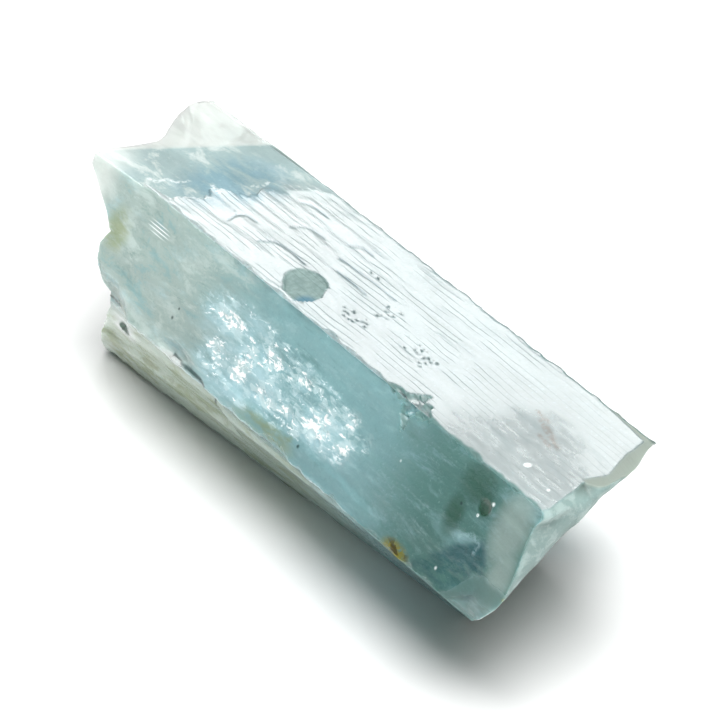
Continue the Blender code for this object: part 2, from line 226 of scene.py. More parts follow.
# The top face, in millimetres along the axis and across from the near edge
topFace = {
    "terracePitch": 1.15,    # growth steps to the millimetre
    "terraceRise": 0.005,
    "riser": 0.09,           # share of a step that is steep
    "jog": 1.0,              # how far, in steps, a growth line jumps sideways
    # the etched window
    "windowMiddle": (-6.9, 1.41),
    "windowCorners": ((-8.15, 1.11), (-7.0, 0.36), (-5.9, 0.27), (-5.42, 0.9), (-5.46, 1.46), (-6.18, 2.36),
                      (-7.39, 2.54), (-8.29, 1.9)),
    "windowDepth": 0.12,
    "windowTilt": (0.05, -0.05),
    # the jagged line behind which the top falls away, and how fast it falls
    "backLineY": (0.0, 0.4, 1.3, 1.75, 2.5, 3.0, 3.6, 4.3, 5.1, 6.3, 7.3),
    "backLineX": (-18.6, -16.8, -16.5, -16.0, -16.5, -15.8, -15.2, -15.2, -13.8, -12.4, -10.5),
    "backStep": 0.04,
    "backSlope": 0.04,
    "backSlopeStart": -14.0,
    "fallCrisp": 0.18,
    "fallSoft": 3.0,
    "frontLineY": (2.4, 2.8, 3.85, 5.5, 7.0),   # past this line the front rim is bevelled
    "frontLineX": (14.8, 13.1, 13.4, 12.6, 11.98),
    "farLineX": (7.0, 8.5, 12.7),    # and past this one the far rim is
    "farLineY": (7.3, 7.0, 6.6),
    "rimSlope": 0.28,
    "figure": (0.55, 3.25, 1.3, 1.05),   # a faint six-sided etch figure
    # short bent lines: steps of the growth terraces, pale wisps and brown stains
    "hooks": (((-13.7, 1.5), (-13.9, 2.1), (-13.6, 2.5), (-12.8, 2.55)),
              ((-11.3, 1.7), (-10.8, 2.35), (-9.6, 2.5), (-8.4, 2.4)),
              ((-11.6, 3.6), (-11.3, 4.1), (-10.9, 4.35), (-9.8, 4.4)),
              ((-5.98, 0.28), (-5.48, 0.92)), ((-7.1, 3.3), (-5.9, 3.33), (-4.6, 3.28)),
              ((-8.0, 4.0), (-5.2, 4.15), (-3.4, 4.1)),
              ((-13.2, 5.2), (-12.8, 5.5), (-11.4, 5.55)), ((-8.6, 5.0), (-8.2, 5.4), (-7.3, 5.4))),
    "wisps": (((-19.4, 0.60), (-18.9, 0.78), (-18.9, 1.24), (-18.3, 1.48), (-18.1, 2.0)),
              ((-17.1, 2.7), (-16.1, 2.5)), ((-15.9, 4.2), (-15.6, 4.5), (-15.8, 5.0)),
              ((-16.9, 0.35), (-16.5, 1.3), (-16.0, 1.75))),
    "stains": (((8.3, 3.94), (9.6, 3.50), (10.7, 3.24)), ((8.9, 3.85), (9.9, 3.55)), ((9.3, 3.2), (10.4, 3.05)),
               ((7.7, 4.2), (8.8, 4.1))),
    # soft patches of pits and of duller ground: middle x, middle y, half length, half width
    "pits": ((-2.9, 3.3, 0.9, 0.8), (-3.4, 1.7, 1.4, 0.6), (1.2, 2.4, 1.6, 0.9), (-5.6, 4.4, 0.8, 0.4)),
    "dull": ((10.6, 0.8, 6.6, 4.6), (9.4, 3.1, 3.6, 2.6)),
}


def sawTerrace(level, rise, width):
    # each whole level is a gentle ramp that ends in a steep step down
    part = level - np.floor(level)
    return rise * (part - smoothStep(1.0 - width, 1.0, part))


def insideOutline(x, y, outline):
    # how far a point is inside a bulging outline whose corners run the same way round as the clock runs back
    inside = np.full_like(x, 9.0)
    for (x0, y0), (x1, y1) in zip(outline, outline[1:] + outline[:1]):
        length = math.hypot(x1 - x0, y1 - y0)
        inside = np.minimum(inside, ((x1 - x0) * (y - y0) - (y1 - y0) * (x - x0)) / length)
    return inside


def windowInside(x, y):
    # millimetres inside the rim of the etched window
    return insideOutline(x, y, topFace["windowCorners"]) + 0.05 * softNoise(x * 4.0, y * 4.0, 45)


def pastRim(x, y):
    # millimetres past the lines where the front and far rims start to fall away
    t = topFace
    front = x - np.interp(y, t["frontLineY"], t["frontLineX"]) - 0.08 * softNoise(y * 2.0, x * 0.0, 47)
    far = y - np.interp(x, t["farLineX"], t["farLineY"])
    return np.maximum(np.maximum(front, far), 0.0)


def pitDepth(x, y):
    # small round pits round random points, only inside the patches that have them
    patch = marks(x, y, topFace["pits"])
    u = x * 4.2
    v = y * 5.0
    i = np.floor(u)
    j = np.floor(v)
    away = np.hypot(u - i - 0.2 - 0.6 * chance(i, j, 71), v - j - 0.2 - 0.6 * chance(i, j, 72))
    size = 0.14 + 0.30 * chance(i, j, 73) ** 2
    return 0.05 * smoothStep(size, size * 0.4, away) * (chance(i, j, 74) < patch * 0.55)


def hookLines(x, y, bent, width=0.10):
    # 1 on short bent lines and 0 a little way off them
    line = np.zeros_like(x)
    for corner in bent:
        for (x0, y0), (x1, y1) in zip(corner, corner[1:]):
            length = (x1 - x0) ** 2 + (y1 - y0) ** 2
            t = np.clip(((x - x0) * (x1 - x0) + (y - y0) * (y1 - y0)) / length, 0.0, 1.0)
            away = np.hypot(x - x0 - t * (x1 - x0), y - y0 - t * (y1 - y0))
            line = np.maximum(line, smoothStep(width, 0.3 * width, away))
    return line


def pastLine(x, y):
    # millimetres behind the jagged line where the top face starts to fall towards the back
    t = topFace
    line = np.interp(y, t["backLineY"], t["backLineX"]) + 0.30 * softNoise(y * 2.6, x * 0.0, 44)
    return np.clip(line + 0.22 * softNoise(y * 6.0, x * 0.0, 49) - x, 0.0, None)


def fallWidth(y, crisp):
    # how far the fall takes to start: crisply on the near side and softly on the far side
    return crisp + topFace["fallSoft"] * smoothStep(4.2, 5.8, y)


def roof(x, y):
    # height that nothing passes behind the jagged line
    t = topFace
    fall = t["backStep"] + t["backSlope"] * np.clip(t["backSlopeStart"] - x, 0.0, None)
    return -fall * smoothStep(0.0, fallWidth(y, t["fallCrisp"]), pastLine(x, y))


def topRelief(x, y):
    # growth terraces that run along the axis and jog sideways, the etched window, the pits
    t = topFace
    jog = t["jog"] * softNoise(x * 0.24 + 0.5 * softNoise(y * 0.8, x * 0.0, 46), y * 0.75, 41, 0.14)
    level = y * t["terracePitch"] + jog + 0.35 * softNoise(x * 0.12, y * 0.5, 42)
    share = 1.0 - 0.75 * smoothStep(1.0, 6.0, x) - 0.20 * smoothStep(4.6, 6.2, y)
    share = share * smoothStep(0.6, 0.0, pastLine(x, y))
    depth = 0.02 - share * sawTerrace(level, t["terraceRise"], t["riser"])
    inside = windowInside(x, y)
    floorDepth = (t["windowDepth"] + t["windowTilt"][0] * (x - t["windowMiddle"][0])
                  + t["windowTilt"][1] * (y - t["windowMiddle"][1]))
    depth = depth + floorDepth * smoothStep(0.0, 0.10, inside)
    depth = depth + t["rimSlope"] * pastRim(x, y)
    middleX, middleY, halfX, halfY = t["figure"]
    u = np.abs(x - middleX) / halfX
    v = np.abs(y - middleY) / halfY
    ring = np.maximum(v, u + 0.5 * v)
    depth = depth + 0.008 * smoothStep(0.10, 0.0, np.abs(ring - 1.0))
    depth = depth + 0.006 * smoothStep(0.08, 0.0, np.abs(ring - 0.6))
    return np.maximum(depth + pitDepth(x, y) + 0.01 * hookLines(x, y, t["hooks"]), 0.0)


def sideRelief(x, across, width, seed, ledges, hollows):
    # ledges along the axis, round hollows, and faint flutes that run the length of a face
    s = across * width
    depth = 0.03 + 0.03 * softNoise(x * 0.08, s * 1.1, seed) + 0.005 * softNoise(x * 0.15, s * 6.0, seed + 1)
    for place, start, end, drop in ledges:
        ends = smoothStep(start, start + 1.8, x) * smoothStep(end, end - 1.8, x)
        edge = place + 0.035 * softNoise(x * 0.45, s * 0.0, seed + 2) + 0.01 * softNoise(x * 2.1, s * 0.0, seed + 4)
        depth = depth + drop * ends * smoothStep(edge - 0.03, edge + 0.03, across)
    for middle, place, halfX, halfY, drop in hollows:
        u = (x - middle) / halfX
        v = (across - place) * width / halfY
        away = u * u + v * v + 0.25 * softNoise(x * 1.5, s * 1.5, seed + 3)
        ripple = 1.0 + 0.10 * np.sin(away * 14.0)
        depth = depth + drop * np.clip(1.0 - away, 0.0, 1.0) * ripple
    return depth


# The other long faces: width, ledges (place across the face, start, end, depth)
# and hollows (middle, place across the face, half length, half width, depth)
sideLooks = {
    1: {"width": 6.1, "ledges": ((0.30, -22.0, 3.0, 0.20), (0.66, -12.0, 12.0, 0.16)),
        "hollows": ((-6.0, 0.55, 2.6, 1.5, 0.36),)},
    2: {"width": 6.3, "ledges": ((0.42, -20.0, 6.0, 0.24), (0.78, -9.0, 8.0, 0.14)),
        "hollows": ((1.0, 0.50, 2.2, 1.6, 0.40), (-14.5, 0.60, 1.8, 1.3, 0.34))},
    4: {"width": 6.0, "ledges": ((0.38, -22.0, -8.0, 0.22), (0.70, -20.0, 4.0, 0.16)),
        "hollows": ((-17.8, 0.645, 0.3, 0.3, 0.16),)},
    5: {"width": 5.9, "ledges": ((0.16, -12.0, 6.0, 0.08),),
        "hollows": ((11.2, 0.24, 1.7, 1.0, 0.05), (11.0, 0.73, 0.42, 0.38, 0.09), (-11.6, 0.07, 1.6, 0.5, 0.22))},
}

# The near upper face and what runs on below it: along the axis and down from the near top edge
nearUpper = {
    # soft ellipses: middle, half length and half width
    "spots": {
        # the sparkle and glints patches also carry painted white highlights
        "sparkle": ((-9.0, 2.5, 1.5, 0.55), (-7.0, 3.7, 0.8, 1.3), (-5.3, 2.7, 1.0, 0.6), (-4.8, 4.3, 1.1, 0.6),
                    (-2.8, 2.5, 0.7, 0.5), (-0.7, 3.7, 1.2, 1.2), (1.2, 2.4, 0.8, 0.5), (1.4, 4.0, 0.6, 1.0),
                    (2.7, 2.9, 0.5, 0.6), (-9.2, 4.0, 1.0, 0.5), (-3.0, 4.2, 0.8, 0.4)),
        "haze": ((-4.0, 3.3, 7.6, 2.2), (-8.0, 2.4, 4.5, 1.3), (-7.5, 4.5, 3.6, 1.3)),
        "olive": ((-19.2, 2.8, 1.3, 1.6), (-4.0, 5.5, 3.2, 0.8), (-17.0, 6.0, 1.5, 0.5), (-2.1, 5.0, 0.5, 0.3)),
        "deepGreen": ((10.1, 1.0, 1.6, 1.3), (9.5, 2.6, 0.8, 1.4)),
        "paleEnd": ((13.0, 1.6, 1.5, 2.4), (13.6, 3.6, 1.0, 2.0)),
        "rust": ((7.2, 5.8, 1.25, 0.62), (14.5, 4.3, 0.3, 0.15)),
        "pit": ((11.0, 1.55, 0.5, 0.5),),
        "glints": ((-16.4, 1.35, 1.1, 0.42),),
        "fog": ((-8.3, 2.9, 3.6, 1.9), (-7.8, 4.6, 3.4, 1.5), (-6.0, 4.0, 3.0, 1.4), (0.2, 3.7, 2.7, 1.3)),
    },
    "darkCorner": ((8.3, 5.75), (11.0, 3.0), (11.9, 2.5), (12.6, 3.2), (13.0, 4.7), (12.0, 5.6), (9.5, 5.85)),
    "ripples": (((10.4, 3.3), (11.1, 2.85), (11.7, 3.0), (11.6, 3.5)),),
    "crack": (((-11.8, 5.62), (-10.9, 5.72), (-10.1, 5.62), (-9.2, 5.66), (-8.8, 5.85), (-9.1, 6.7),
               (-9.4, 7.5), (-9.5, 8.2)),),
    # a small dark hole in the near lower face, and the pale ring round it
    "hole": ((-17.8, 8.0, 0.50, 0.42),),
    "halo": ((-17.8, 8.0, 1.3, 1.1),),
    "brokenDepth": 0.10,     # of the slivers in the sparkle patches
    "crumbDepth": 0.04,      # of the ground along the near top edge
}

# The long edges: how deep each is worn, in waves, patches and crumbs, and at its chips
edges = {
    "waves": 0.35,
    "patches": 0.10,
    "crumbs": 0.03,
    "bend": 0.03,            # how softly the cut starts
    "tipBend": 0.33,         # and at the rounded lower tip of the front break
    "tipStart": 11.0,
    "tipFull": 12.2,
    # edge, middle, half length, depth
    "chips": ((0, -16.2, 0.6, 0.06), (0, -2.6, 0.5, 0.08), (0, -0.4, 0.6, 0.08), (0, 1.3, 0.3, 0.06),
              (0, 2.7, 0.5, 0.17), (0, 3.3, 0.6, 0.17), (0, 4.0, 0.45, 0.38), (0, 4.5, 0.8, 0.20),
              (0, 5.3, 0.6, 0.10), (0, 8.9, 0.8, 0.06),
              (1, 11.6, 1.9, 0.03), (1, 2.0, 0.15, 0.05), (1, 4.2, 0.2, 0.06),
              (2, -15.0, 1.6, 0.35), (2, -3.5, 1.2, 0.25), (2, 3.4, 1.8, 0.40),
              (3, -11.0, 1.5, 0.30), (3, 0.5, 1.2, 0.20),
              (4, -20.5, 1.6, 0.12), (4, -4.0, 1.4, 0.12),
              (5, -18.6, 3.0, 0.55), (5, -3.0, 1.6, 0.14), (5, 13.9, 3.2, 0.42)),
    "chipRough": 0.2,        # broken ground in a chip, as a share of its depth
    "topChipRough": 0.7,
}


def relief(place, x, y):
    # how deep each point of the long faces lies under its flat face
    face = np.floor(place).astype(int) % 6
    part = place - np.floor(place)
    depth = np.where(face == 0, topRelief(x, y), 0.0)
    for index, look in sideLooks.items():
        found = sideRelief(x, part, look["width"], index * 17, look["ledges"], look["hollows"])
        depth = np.where(face == index, found, depth)
    s = (1.0 - part) * prism["nearUpperWidth"]
    broken = nearUpper["brokenDepth"] * (0.5 + facets(x * 2.4, s * 3.6, 81))
    broken = broken * marks(x, s, nearUpper["spots"]["sparkle"])
    crumbs = nearUpper["crumbDepth"] * (0.5 + facets(x * 1.1, s * 1.6, 83, 0.7))
    crumbs = crumbs * smoothStep(0.9, 0.3, s) * smoothStep(-14.0, -12.0, x) * smoothStep(6.0, 4.5, x)
    depth = depth + np.where(face == 5, 0.02 + broken + crumbs, 0.0)
    return np.maximum(depth, 0.0) * smoothStep(0.0, 0.02, part) * smoothStep(0.0, 0.02, 1.0 - part)


def edgeDepth(index, x, y, z, rough):
    # how deep an edge is worn: waves of two lengths, patches and crumbs, and its chips' tent shapes
    e = edges
    waves = np.sin(x * 1.7 + index * 2.1) + np.sin(x * 4.3 + index * 0.7)
    wear = prism["edgeWear"] * (1.0 + e["waves"] * waves)
    wear = wear + e["patches"] * np.clip(softNoise(x * 1.9, x * 0.0 + index, 51 + index) - 0.35, 0.0, 1.0)
    wear = wear + e["crumbs"] * facets(x * 3.0, (y + z) * 3.0, 61 + index) * rough
    if index < 2:   # the top's edges stay crisp near the back tip
        wear = wear * smoothStep(-17.5, -15.0, x)
    ground = facets(x * 2.2, (y + z) * 2.2, 65) * rough * (e["chipRough"] if index else e["topChipRough"])
    for edge, middle, half, drop in e["chips"]:
        if edge == index:
            chip = np.clip(1.6 - 1.6 * np.abs(x - middle) / half, 0.0, 1.0)
            wear = wear + chip * (drop + min(drop, 0.15) * ground)
    return wear


def softCut(over, bend):
    # how far to move a point that is this far past a plane: a parabola leads into the full distance
    lead = np.clip(over + 2.0 * bend, 0.0, 4.0 * bend) ** 2 / (8.0 * bend)
    return lead + np.maximum(over - 2.0 * bend, 0.0)


def cutEdges(y, z, x):
    # planes square to each corner's bisector take the long edges back
    found = corners(x)
    for index in range(6):
        cornerY, cornerZ = found[index]
        before = found[index - 1]
        after = found[(index + 1) % 6]
        out = np.array([2.0 * cornerY - before[0] - after[0], 2.0 * cornerZ - before[1] - after[1]])
        out = out / np.hypot(out[0], out[1])
        atTip = smoothStep(edges["tipStart"], edges["tipFull"], x) if index == 5 else 0.0
        over = (y - cornerY) * out[0] + (z - cornerZ) * out[1] + edgeDepth(index, x, y, z, 1.0 - atTip)
        over = softCut(over, edges["bend"] + (edges["tipBend"] - edges["bend"]) * atTip)
        y = y - over * out[0]
        z = z - over * out[1]
    return y, z


def roundPlaces():
    # lengthwise lines: closer together beside each corner
    places = []
    for index, cells in enumerate(prism["faceCells"]):
        t = np.linspace(0.0, 1.0, cells, endpoint=False)
        places.append(index + t - 0.035 * np.sin(2.0 * math.pi * t))
    return np.concatenate(places)


def sideRows():
    # each lengthwise line runs from the back break to the front break, whose reach depends on where the
    # line is and the other way about, so both are worked out a few times in turn
    t = np.linspace(0.0, 1.0, prism["rows"])
    places, parts = np.meshgrid(roundPlaces(), t - 0.02 * np.sin(2.0 * math.pi * t))
    x = np.zeros_like(places)
    part = places - np.floor(places)
    for turn in range(4):
        face, startY, startZ, runY, runZ, inY, inZ = faceFrame(places, x)
        y = startY + runY * part
        z = startZ + runZ * part
        back = backReach(y, z)
        x = back + (frontReach(y, z) - back) * parts
    depth = np.where(face == 3, 0.0, relief(places, x, y))
    flatY = y + depth * inY
    flatZ = z + depth * inZ
    across = y
    y, z = cutEdges(flatY, flatZ, x)
    worn = np.hypot(y - flatY, z - flatZ)
    z = np.minimum(z, roof(x, y))
    back = backReach(y, z)
    x = back + (frontReach(y, z) - back) * parts
    return np.stack([x, y, z], axis=-1), sideMasks(face, part, x, across, worn, x - back)


def sideMasks(face, part, x, y, worn, fromBack):
    # how much of each finish every point of the long faces has, from 0 to 1
    # s is measured down from the near top edge and on across the near lower face
    s = (1.0 - part) * prism["nearUpperWidth"] + np.where(face == 4, prism["nearUpperWidth"], 0.0)
    near = nearUpper
    dark = insideOutline(x, s, near["darkCorner"]) + 0.25 * softNoise(x * 1.3, s * 1.3, 48)
    onNearUpper = {name: marks(x, s, spots) for name, spots in near["spots"].items()}
    onNearUpper["deepTeal"] = smoothStep(-0.15, 0.35, dark)
    onNearUpper["ripples"] = hookLines(x, s, near["ripples"], 0.13)
    onNearLower = {"hole": marks(x, s, near["hole"]), "halo": marks(x, s, near["halo"])}
    onTop = {
        "top": np.ones_like(x),
        "window": smoothStep(-0.01, 0.05, windowInside(x, y)),
        "dull": marks(x, y, topFace["dull"]),
        "behind": smoothStep(0.0, fallWidth(y, 0.3), pastLine(x, y)),
        "rim": smoothStep(0.0, 0.10, pastRim(x, y)),
        "hooks": hookLines(x, y, topFace["hooks"], 0.08),
        "wisps": hookLines(x, y, topFace["wisps"], 0.16),
        "stains": hookLines(x, y, topFace["stains"], 0.16),
        "pits": smoothStep(0.0, 0.03, pitDepth(x, y)),
    }
    masks = {}
    for index, found in ((5, onNearUpper), (4, onNearLower), (0, onTop)):
        for name, mask in found.items():
            masks[name] = np.where(face == index, mask, 0.0)
    masks["crack"] = np.where((face == 5) | (face == 4), hookLines(x, s, near["crack"], 0.15), 0.0)
    masks["worn"] = smoothStep(0.0, 0.05, worn) * smoothStep(0.30, 0.12, worn)
    # the band along the far top edge that gets a dark line of painted shade
    farEdgeShade = smoothStep(0.982, 0.990, part) * (face == 0) + smoothStep(0.05, 0.03, part) * (face == 1)
    masks["farEdgeShade"] = farEdgeShade * smoothStep(-20.5, -18.0, x)
    masks["broken"] = smoothStep(0.5, 0.0, fromBack)
    masks["frosted"] = np.zeros_like(x)   # this and the next are on the front break alone
    masks["under"] = np.zeros_like(x)
    return masks


def bandFaces(first, second, count):
    # four-sided faces between two closed rings that start at these point numbers
    i = np.arange(count)
    j = (i + 1) % count
    return np.column_stack([first + i, first + j, second + j, second + i])


def crystalSurface():
    # the long faces as a grid, then each break as rings that shrink from its rim to a middle point
    rows, masks = sideRows()
    count = rows.shape[1]
    masks = {name: [mask.reshape(-1)] for name, mask in masks.items()}
    faces = [bandFaces(r * count, (r + 1) * count, count)[:, ::-1] for r in range(prism["rows"] - 1)]
    points = [rows.reshape(-1, 3)]
    triangles = []
    total = prism["rows"] * count
    ridgeMiddle = [(prism["ridgeFar"][k] + prism["ridgeNear"][k]) / 2.0 for k in (1, 2)]
    ends = ((rows[0], prism["backMiddle"], backReach, 0, 1, "broken"),
            (rows[-1], ridgeMiddle, frontReach, total - count, -1, "frosted"))
    for rim, middle, reach, start, turn, finish in ends:
        size = np.linspace(1.0, 0.0, prism["capRings"] + 1)[1:-1, None]
        y = middle[0] + (rim[None, :, 1] - middle[0]) * size
        z = middle[1] + (rim[None, :, 2] - middle[1]) * size
        points.append(np.stack([reach(y, z), y, z], axis=-1).reshape(-1, 3))
        for name, parts in masks.items():
            parts.append(np.full(y.size + 1, 1.0 if name == finish else 0.0))
        if finish == "frosted":
            # how far the undercut lies behind the facet: the mask for its painted shade
            gap = prism["facet"][0] + prism["facet"][1] * z - reach(y, z)
            masks["under"][-1][:-1] = smoothStep(0.1, 0.6, gap).reshape(-1)
            masks["under"][-1][-1] = 1.0
        for ring in range(prism["capRings"] - 1):
            faces.append(bandFaces(start, total, count)[:, ::turn])
            start = total
            total += count
        pole = np.array([[middle[0]], [middle[1]]])
        points.append(np.column_stack([reach(pole[0], pole[1]), pole[0], pole[1]]))
        i = np.arange(count)
        triangles.append(np.column_stack([start + i, start + (i + 1) % count, np.full(count, total)])[:, ::turn])
        total += 1
    masks = {name: np.concatenate(parts) for name, parts in masks.items()}
    return np.concatenate(points), np.concatenate(faces), np.concatenate(triangles), masks


def meshFrom(name, points, quads, triangles):
    mesh = bpy.data.meshes.new(name)
    mesh.from_pydata(points.tolist(), [], quads.tolist() + triangles.tolist())
    mesh.update()
    piece = bpy.data.objects.new(name, mesh)
    bpy.context.scene.collection.objects.link(piece)
    return piece


boxLow, boxHigh = (np.array(corner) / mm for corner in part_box("crystal"))
points, quads, triangles, masks = crystalSurface()
low = points.min(axis=0)
high = points.max(axis=0)
shift = (boxLow + boxHigh) / 2.0 - (low + high) / 2.0
shift[2] = prism["height"]
# a hair smaller than the solid's box, about the middle of its foot
fit = np.minimum((boxHigh - boxLow) / (high - low), 1.0) * 0.9995
crystal = meshFrom("aquamarine", (points + shift) * fit * mm, quads, triangles)
for name, mask in masks.items():
    crystal.data.attributes.new(name, "FLOAT", "POINT").data.foreach_set("value", mask.astype(np.float32))
crystal.data.shade_smooth()
crystal.data.set_sharp_from_angle(angle=math.radians(24))
print("crystal surface made:", len(quads) * 2 + len(triangles), "triangles")


class Wire:
    # one socket of a node tree; + - * / and their reflected forms add Math nodes
    def __init__(self, nodes, socket):
        self.nodes = nodes
        self.socket = socket

    def __add__(self, other):
        return self.nodes.math("ADD", self, other)

    def __radd__(self, other):
        return self.nodes.math("ADD", other, self)

    def __sub__(self, other):
        return self.nodes.math("SUBTRACT", self, other)

    def __rsub__(self, other):
        return self.nodes.math("SUBTRACT", other, self)

    def __mul__(self, other):
        return self.nodes.math("MULTIPLY", self, other)

    def __rmul__(self, other):
        return self.nodes.math("MULTIPLY", other, self)

    def __truediv__(self, other):
        return self.nodes.math("DIVIDE", self, other)

    def __rtruediv__(self, other):
        return self.nodes.math("DIVIDE", other, self)

    def __pow__(self, other):
        return self.nodes.math("POWER", self, other)


class Nodes:
    # adds nodes to one material
    def __init__(self, name):
        self.material = bpy.data.materials.new(name)
        self.material.use_nodes = True
        self.tree = self.material.node_tree
        self.tree.nodes.clear()

    def add(self, kind, settings, inputs, outputs=(0,)):
        # settings are set first, then each input gets a value or a link
        node = self.tree.nodes.new(kind)
        for key, value in settings.items():
            setattr(node, key, value)
        for key, value in inputs.items():
            if isinstance(value, Wire):
                self.tree.links.new(value.socket, node.inputs[key])
            else:
                node.inputs[key].default_value = value
        wires = [Wire(self, node.outputs[key]) for key in outputs]
        return wires[0] if len(wires) == 1 else wires

    def math(self, operation, first, second=0.0):
        return self.add("ShaderNodeMath", {"operation": operation}, {0: first, 1: second})

    def limit(self, value):
        return self.add("ShaderNodeClamp", {}, {"Value": value})

    def rise(self, value, low, high):
        # 0 below low, 1 above high, smooth between
        return self.add("ShaderNodeMapRange", {"interpolation_type": "SMOOTHSTEP"},
                        {"Value": value, "From Min": low, "From Max": high})

    def blend(self, amount, first, second):
        # colours mixed by an amount from 0 to 1
        return self.add("ShaderNodeMix", {"data_type": "RGBA"}, {0: amount, 6: first, 7: second}, (2,))

    def noise(self, place, scale, detail=2.0, roughness=0.5, distortion=0.0):
        return self.add("ShaderNodeTexNoise", {},
                        {"Vector": place, "Scale": scale, "Detail": detail,
                         "Roughness": roughness, "Distortion": distortion})

    def cells(self, place, scale):
        # three random numbers for each cell of broken ground
        color = self.add("ShaderNodeTexVoronoi", {}, {"Vector": place, "Scale": scale}, ("Color",))
        return self.split(color)

    def mask(self, name):
        # one of the finishes stored at the points of the mesh
        return self.add("ShaderNodeAttribute", {"attribute_name": name}, {}, ("Fac",))

    def split(self, vector):
        return self.add("ShaderNodeSeparateXYZ", {}, {"Vector": vector}, (0, 1, 2))

    def stretched(self, place, scale):
        return self.add("ShaderNodeMapping", {}, {"Vector": place, "Scale": scale})

    def spot(self, place, middle, radius):
        # 1 at a point of the crystal, fading to 0 at the radius in millimetres
        away = self.add("ShaderNodeVectorMath", {"operation": "DISTANCE"}, {0: place, 1: middle}, ("Value",))
        return self.rise(away, radius, radius * 0.35)

    def bump(self, height, strength, distance, inputs):
        return self.add("ShaderNodeBump", {},
                        {"Height": height, "Strength": strength, "Distance": distance, **inputs})


